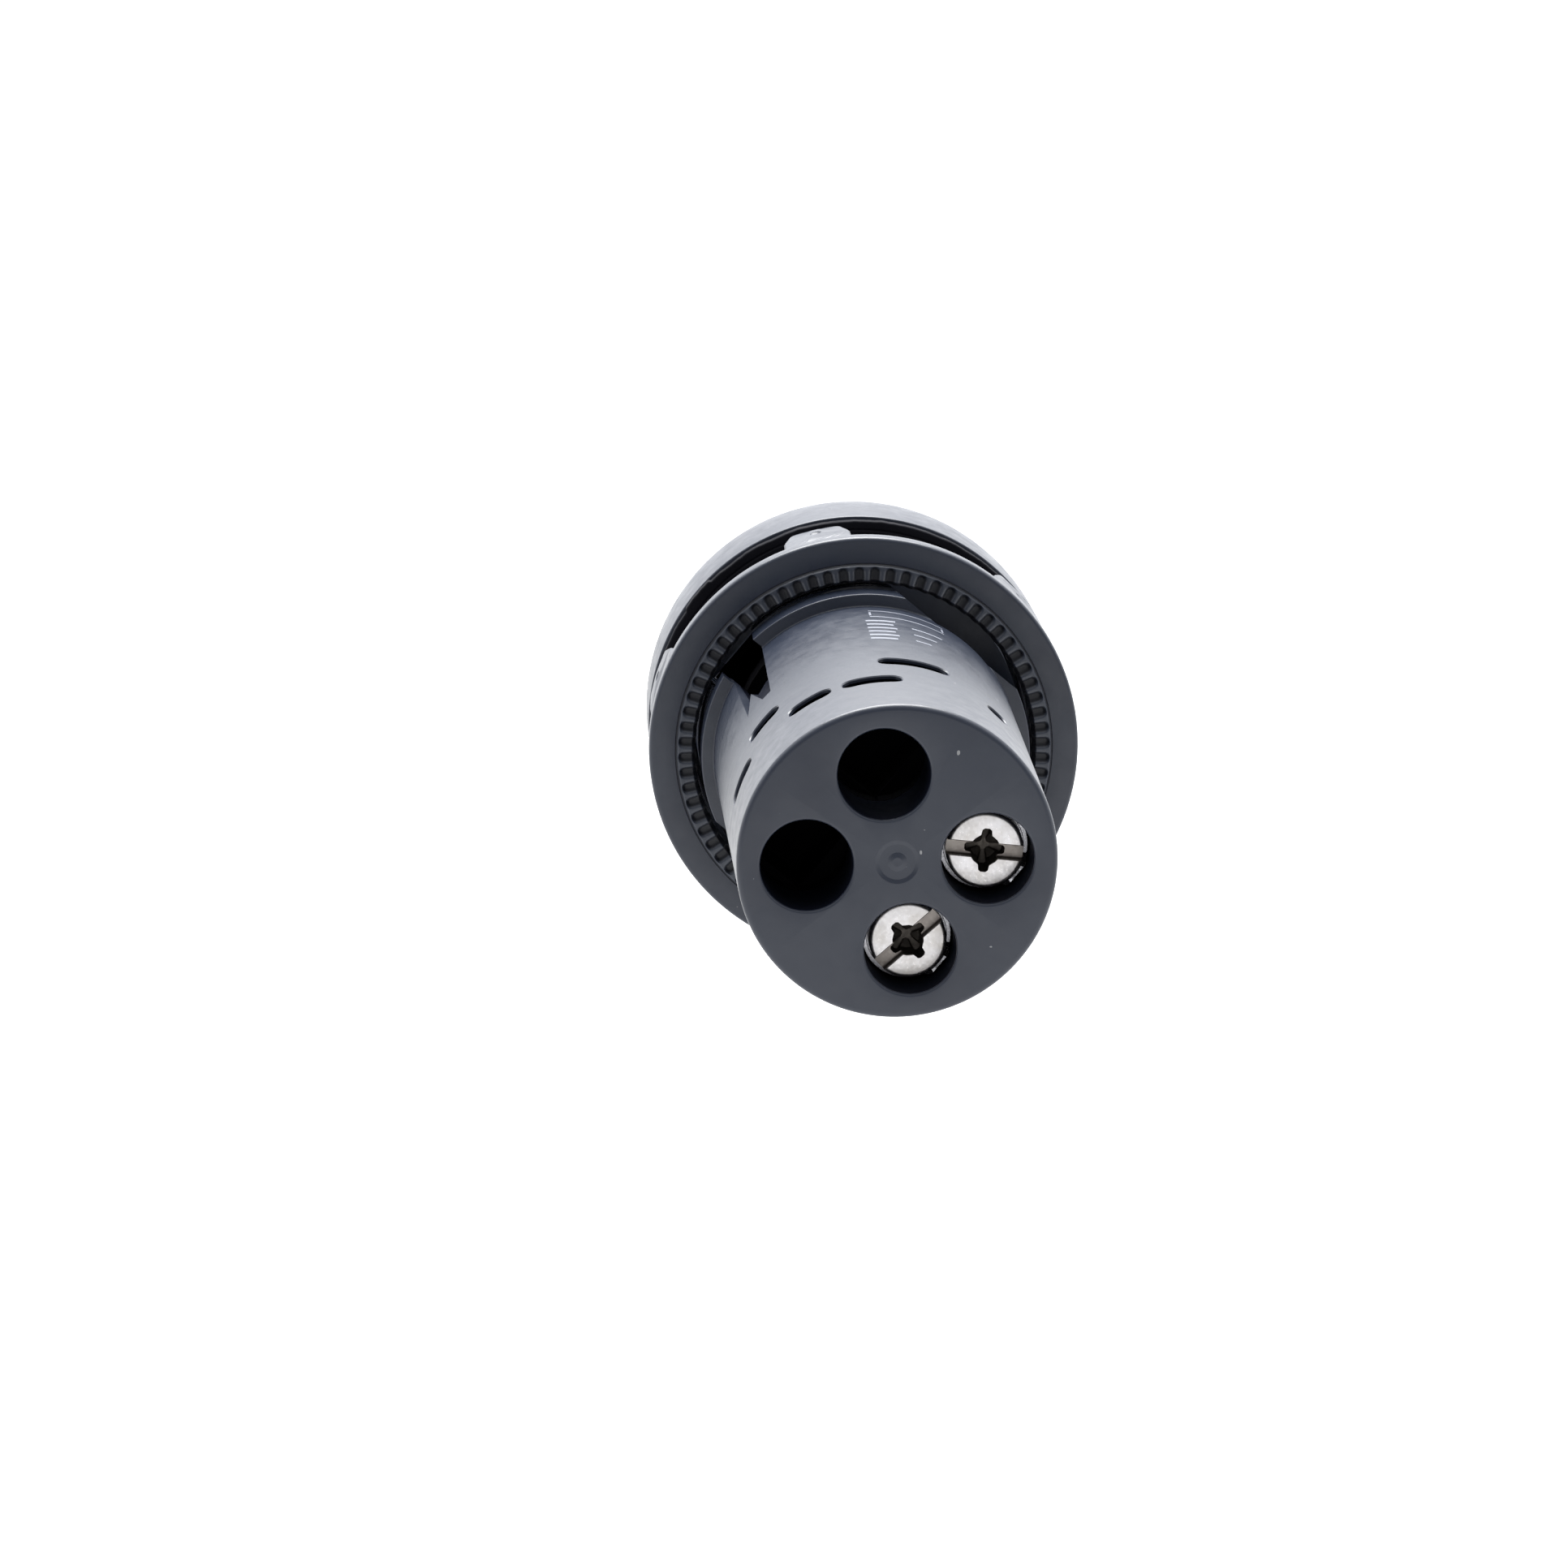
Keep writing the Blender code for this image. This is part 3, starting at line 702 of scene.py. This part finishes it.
def make_gasket():
    """Flat rubber ring with a fine groove near its outer edge."""
    lip_r = 13.4 * MM
    edge_y = -0.05 * MM
    corners = [(SEAL_BORE_R, SEAL_FRONT_Y, 0.08 * MM), (BEZEL_R, SEAL_FRONT_Y, 0.1 * MM),
               (BEZEL_R, edge_y, 0.12 * MM), (lip_r + 0.1 * MM, edge_y, 0.03 * MM),
               (lip_r, -0.12 * MM, 0.03 * MM), (lip_r - 0.1 * MM, 0, 0.03 * MM),
               (SEAL_BORE_R, 0, 0.1 * MM)]
    body = turned(rounded(corners, 4), 512, shape=gasket_shape)
    piece("gasket", body, "housing", RUBBER, ["panel_gasket"])


def make_cap():
    """Flush button: a shallow dish inside a rounded rim, with its skirt around the plunger."""
    dish = 0.35 * MM
    dish_r = 7.6 * MM
    skirt_r = 8.2 * MM
    ceiling = -8.3 * MM
    steps = 12
    corners = [(0, CAP_FRONT_Y + dish, 0), (0, ceiling, 0), (skirt_r, ceiling, 0.2 * MM),
               (skirt_r, CAP_REAR_Y, 0.1 * MM), (CAP_R, CAP_REAR_Y, 0.1 * MM),
               (CAP_R, CAP_FRONT_Y, 0.55 * MM), (8.0 * MM, CAP_FRONT_Y, 0.5 * MM)]
    for step in range(1, steps):
        share = step / steps
        depth = dish * smooth_step(0, 1.3, share + 0.15)
        corners.append((dish_r * (1 - share), CAP_FRONT_Y + depth, 0))
    piece("cap", turned(rounded(corners), 192), "button", CAP, ["button_cap"])


# ---------------------------------------------------------------- terminals

def recess_outline(turn, wing, half_width, core):
    """Outline of a cross recess about the origin, as (heading, radius): four blunt wings on a core."""
    tip = half_width / wing
    neck = math.hypot(core, half_width)
    lean = math.atan2(half_width, core)
    outline = []
    for arm in range(4):
        heading = turn + math.tau * arm / 4
        outline += [(heading - lean, neck), (heading - tip * 0.9, wing * 0.94),
                    (heading - tip * 0.45, wing), (heading + tip * 0.45, wing),
                    (heading + tip * 0.9, wing * 0.94), (heading + lean, neck),
                    (heading + math.pi / 4, core * 1.04)]
    return outline


def recess_cutter(centre, turn):
    """Cross recess of a terminal screw, tapering to a blunt cone."""
    levels = []
    for depth, wing, half_width, core in ((-0.1, 1.46, 0.38, 1.0), (0.1, 1.4, 0.35, 0.94),
                                          (1.35, 1.15, 0.3, 0.78), (1.75, 0.4, 0.14, 0.25)):
        y = SCREW_HEAD_Y - depth * MM
        outline = recess_outline(turn, wing, half_width, core)
        levels.append([centre + around(heading, radius * MM, y) for heading, radius in outline])
    return loft(levels)


def driver_slot_cutter(centre, turn):
    """Straight driver slot across a screw's head, with a rounded floor and flared mouth."""
    along = around(turn, 1, 0)
    across = around(turn + math.pi / 2, 1, 0)
    floor = SCREW_HEAD_Y - DRIVER_SLOT_DEPTH
    flare = SCREW_HEAD_Y - 0.08 * MM
    mouth = SCREW_HEAD_Y + 0.05 * MM
    outline = rounded([(-0.46 * MM, floor, 0.12 * MM), (0.46 * MM, floor, 0.12 * MM),
                       (0.47 * MM, flare, 0), (0.56 * MM, mouth, 0), (-0.56 * MM, mouth, 0),
                       (-0.47 * MM, flare, 0)])
    levels = []
    for reach in (-3 * MM, 3 * MM):
        end = centre + along * reach
        levels.append([end + across * side + Vector((0, y, 0)) for side, y in outline])
    return loft(levels)


def make_screw(number, centre, turn):
    """Terminal screw with a driver slot and a cross recess, both painted darker than its head as shade.
    """
    head_r = 2.48 * MM
    head_front = SCREW_HEAD_Y - 1.5 * MM
    shaft_r = 1.65 * MM
    recess_r = 1.34 * MM
    recess_floor = SCREW_HEAD_Y - 1.9 * MM
    corners = [(0, SCREW_TIP_Y, 0), (shaft_r - 0.3 * MM, SCREW_TIP_Y, 0.05 * MM),
               (shaft_r, SCREW_TIP_Y + 0.4 * MM, 0), (shaft_r, head_front, 0.1 * MM),
               (head_r, head_front, 0.1 * MM), (head_r, SCREW_HEAD_Y, 0.26 * MM),
               (0, SCREW_HEAD_Y, 0)]
    body = turned(rounded(corners, 7), SMALL_SEGMENTS, centre)
    body = combined(body, [driver_slot_cutter(centre, turn)])
    body = combined(body, [recess_cutter(centre, turn)])
    made = piece("screw_%d" % number, body, "screw_%d" % number, NICKEL,
                 ["terminal_screw_%d" % number], math.radians(32))
    made.data.materials.append(RECESS_SHADE)
    made.data.materials.append(SLOT_SHADE)
    across = around(turn + math.pi / 2, 1, 0)
    # Faces in the cross recess take the painted recess shade, and those in the driver slot the lighter
    # painted slot shade.
    for polygon in made.data.polygons:
        offset = polygon.center - centre
        if not recess_floor < polygon.center.y < SCREW_HEAD_Y - 0.1 * MM:
            continue
        in_slot = polygon.center.y > SCREW_HEAD_Y - DRIVER_SLOT_DEPTH - 0.05 * MM
        if math.hypot(offset.x, offset.z) < recess_r:
            polygon.material_index = 1
        elif in_slot and abs(offset.dot(across)) < 0.5 * MM:
            polygon.material_index = 2


def clamp_outline(radius, flat, centre):
    """Round outline about a screw's axis, cut off straight on both V sides at the distance flat."""
    points = []
    for step in range(SMALL_SEGMENTS):
        angle = math.tau * (step + 0.5) / SMALL_SEGMENTS
        rise = min(flat, max(-flat, radius * math.sin(angle)))
        points.append(centre + U * radius * math.cos(angle) + V * rise)
    return points


def make_clamp(number, centre):
    """Clamp washer with a hole for the screw, and an upstanding lip along each straight side."""
    edge = 0.06 * MM
    lift = 1.15 * MM
    hole = 1.9
    # Radius and straight side's distance in millimetres, then place along the axis, and the lip's rise.
    section = ((2.80, 2.62, WASHER_LOW_Y, 0), (2.86, 2.74, WASHER_LOW_Y + edge, 0),
               (2.86, 2.74, WASHER_HIGH_Y - edge, lift), (2.82, 2.70, WASHER_HIGH_Y, lift),
               (2.60, 2.58, WASHER_HIGH_Y, lift), (2.56, 2.54, WASHER_HIGH_Y - edge, lift),
               (2.54, 2.52, WASHER_HIGH_Y - edge, 0), (hole, hole, WASHER_HIGH_Y - edge, 0),
               (hole, hole, WASHER_LOW_Y, 0))
    levels = []
    for radius, flat, y, height in section:
        level = []
        for point in clamp_outline(radius * MM, flat * MM, centre):
            reach = abs((point - centre).dot(V)) / (flat * MM)
            level.append(point + Vector((0, y + height * smooth_step(0.93, 0.99, reach), 0)))
        levels.append(level)
    piece("clamp_plate_%d" % number, loft(levels, closed=True), "clamp_%d" % number, CLAMP,
          ["clamp_washer_%d" % number], math.radians(30))


# ---------------------------------------------------------------- springs

def coil_path(radius, low, high, turns):
    """Helix about the Y axis whose first and last turns lie nearly flat, as ground springs have."""
    closed = 0.9
    path = []
    steps = int(turns * 40)
    for step in range(steps + 1):
        turn = turns * step / steps
        rise = smooth_step(closed * 0.5, turns - closed * 0.5, turn) * 0.35
        rise += min(1.0, max(0.0, (turn - closed) / (turns - 2 * closed))) * 0.65
        path.append(around(math.tau * turn, radius, low + (high - low) * rise))
    return path


def make_spring(name, node, body, radius, wire, turns):
    """Coil between the ends of a CAD spring, with a mesh of its own."""
    low, high = (corner.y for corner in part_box(node))
    path = coil_path(radius, low + wire, high - wire, turns)
    made = piece(name, swept(path, wire), body, STEEL, [node])
    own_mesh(made)


# ---------------------------------------------------------------- print on the barrel

def ink_patch(made, start, end, low, high):
    """Thin raised patch of print between two angles in degrees and two heights in millimetres."""
    rows = []
    steps = max(2, int((end - start) / 1.5))
    for radius in (BODY_R - 0.05 * MM, BODY_R + 0.012 * MM):
        for y in (low * MM, high * MM):
            row = []
            for step in range(steps + 1):
                angle = math.radians(start + (end - start) * step / steps)
                row.append(made.verts.new(around(angle, radius, y)))
            rows.append(row)
    inner_low, inner_high, outer_low, outer_high = rows
    for step in range(steps):
        for one, two in ((inner_low, inner_high), (inner_high, outer_high), (outer_high, outer_low),
                         (outer_low, inner_low)):
            made.faces.new((one[step], one[step + 1], two[step + 1], two[step]))
    for end_step in (0, -1):
        made.faces.new([row[end_step] for row in (inner_low, inner_high, outer_high, outer_low)])


def make_print():
    """A blank framed band and rows of plain bars, in place of any wording."""
    made = bmesh.new()
    for start, end, low, high in ((90, 119, 11.6, 11.8), (90, 119, 13.4, 13.6), (90, 90.8, 12.1, 13.1),
                                  (118.2, 119, 12.1, 13.1)):
        ink_patch(made, start, end, low, high)
    for row in range(6):
        ink_patch(made, 88, 99 - row % 2, 14.6 + row * 1.1, 15.0 + row * 1.1)
    for row in range(3):
        ink_patch(made, 105, 117 - row * 3, 15.8 + row * 1.9, 16.1 + row * 1.9)
    bmesh.ops.recalc_face_normals(made, faces=made.faces)
    piece("barrel_print", made, "housing", INK)


# ---------------------------------------------------------------- carried-over nodes, stage and camera

def dress_inner_nodes():
    """Gives the inner CAD nodes, which keep their shape, their finished materials."""
    for surface, names in (
            (INNER, ("plunger_guide", "contact_block", "plunger")),
            (RUBBER, ("plunger_o_ring",)),
            (STEEL, ("plunger_clip",)),
            (BRASS, ("contact_bridge", "terminal_plate_1", "terminal_plate_2")),
            (SILVER, ("fixed_contact_tip_1", "fixed_contact_tip_2", "moving_contact_tip_1",
                      "moving_contact_tip_2"))):
        for name in names:
            for material_slot in frame["nodes"][name].material_slots:
                material_slot.material = surface


def make_floor():
    """Pale floor well below the unit, a little self-lit so that it stays even."""
    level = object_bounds()[0].z - 30 * MM
    reach = 1.5
    nearest = -0.5
    made = bmesh.new()
    corners = [made.verts.new((x, y, level)) for x, y in ((-reach, nearest), (reach, nearest),
                                                          (reach, reach), (-reach, reach))]
    made.faces.new(corners)
    floor = scene_object("floor", made)
    surface = bpy.data.materials.new("floor_paper")
    surface.use_nodes = True
    shader = surface.node_tree.nodes["Principled BSDF"]
    shader.inputs["Base Color"].default_value = (0.25, 0.25, 0.25, 1)
    shader.inputs["Roughness"].default_value = 0.9
    shader.inputs["Emission Color"].default_value = (1, 1, 1, 1)
    shader.inputs["Emission Strength"].default_value = 0.85
    floor.data.materials.append(surface)


def light_world():
    """Surroundings that are bright in front and overhead and dimmer behind, but look plain white."""
    seen_strength = 1.1
    world = bpy.data.worlds.new("studio")
    world.use_nodes = True
    tree = world.node_tree
    background = tree.nodes["Background"]
    place = add_node(tree, "ShaderNodeTexCoord").outputs["Generated"]
    split = add_node(tree, "ShaderNodeSeparateXYZ", [("Vector", place)])
    behind = ranged(tree, split.outputs["Y"], -0.2, 0.55, 2.3, 0.3)
    above = ranged(tree, split.outputs["Z"], 0.1, 0.9, 0.0, 0.5)
    total = tree.nodes.new("ShaderNodeMath")
    tree.links.new(behind, total.inputs[0])
    tree.links.new(above, total.inputs[1])
    seen = add_node(tree, "ShaderNodeLightPath").outputs["Is Camera Ray"]
    strength = add_node(tree, "ShaderNodeMix", [("Factor", seen), ("A", total.outputs["Value"])],
                        B=seen_strength)
    tree.links.new(strength.outputs["Result"], background.inputs["Strength"])
    background.inputs["Color"].default_value = (0.97, 0.98, 1.0, 1)
    bpy.context.scene.world = world
    bpy.context.scene.view_settings.view_transform = "Standard"


def light_overhead():
    """Soft lamp in front of the unit and above it."""
    data = bpy.data.lights.new("overhead", "AREA")
    data.shape = "DISK"
    data.size = 0.5
    data.energy = 9.0
    made = bpy.data.objects.new("overhead", data)
    made.location = (0.02, -0.22, 0.5)
    aim = Vector((0, 0.01, 0))
    made.rotation_euler = (aim - made.location).to_track_quat("-Z", "Y").to_euler()
    bpy.context.scene.collection.objects.link(made)


def make_camera():
    """Long lens slightly above and to one side of the axis, looking at the terminals."""
    data = bpy.data.cameras.new("camera")
    data.sensor_width = 36
    data.lens = 167.7
    data.clip_start = 0.01
    made = bpy.data.objects.new("camera", data)
    made.location = (0.0317544, 0.4871396, 0.1098707)
    made.rotation_euler = (math.radians(76.829), 0, math.radians(176.851))
    bpy.context.scene.collection.objects.link(made)
    bpy.context.scene.camera = made


make_camera()
make_floor()
light_world()
light_overhead()
make_barrel()
make_nut()
make_bezel()
make_gasket()
make_cap()
for screw_index, screw_centre in enumerate(SCREWS):
    make_screw(screw_index + 1, screw_centre, SCREW_TURNS[screw_index])
    make_clamp(screw_index + 1, screw_centre)
make_spring("return_coil", "return_spring", "housing", 5.6 * MM, 0.3 * MM, 6.5)
make_spring("bridge_coil", "bridge_spring", "button", 1.15 * MM, 0.18 * MM, 5.5)
make_print()
dress_inner_nodes()
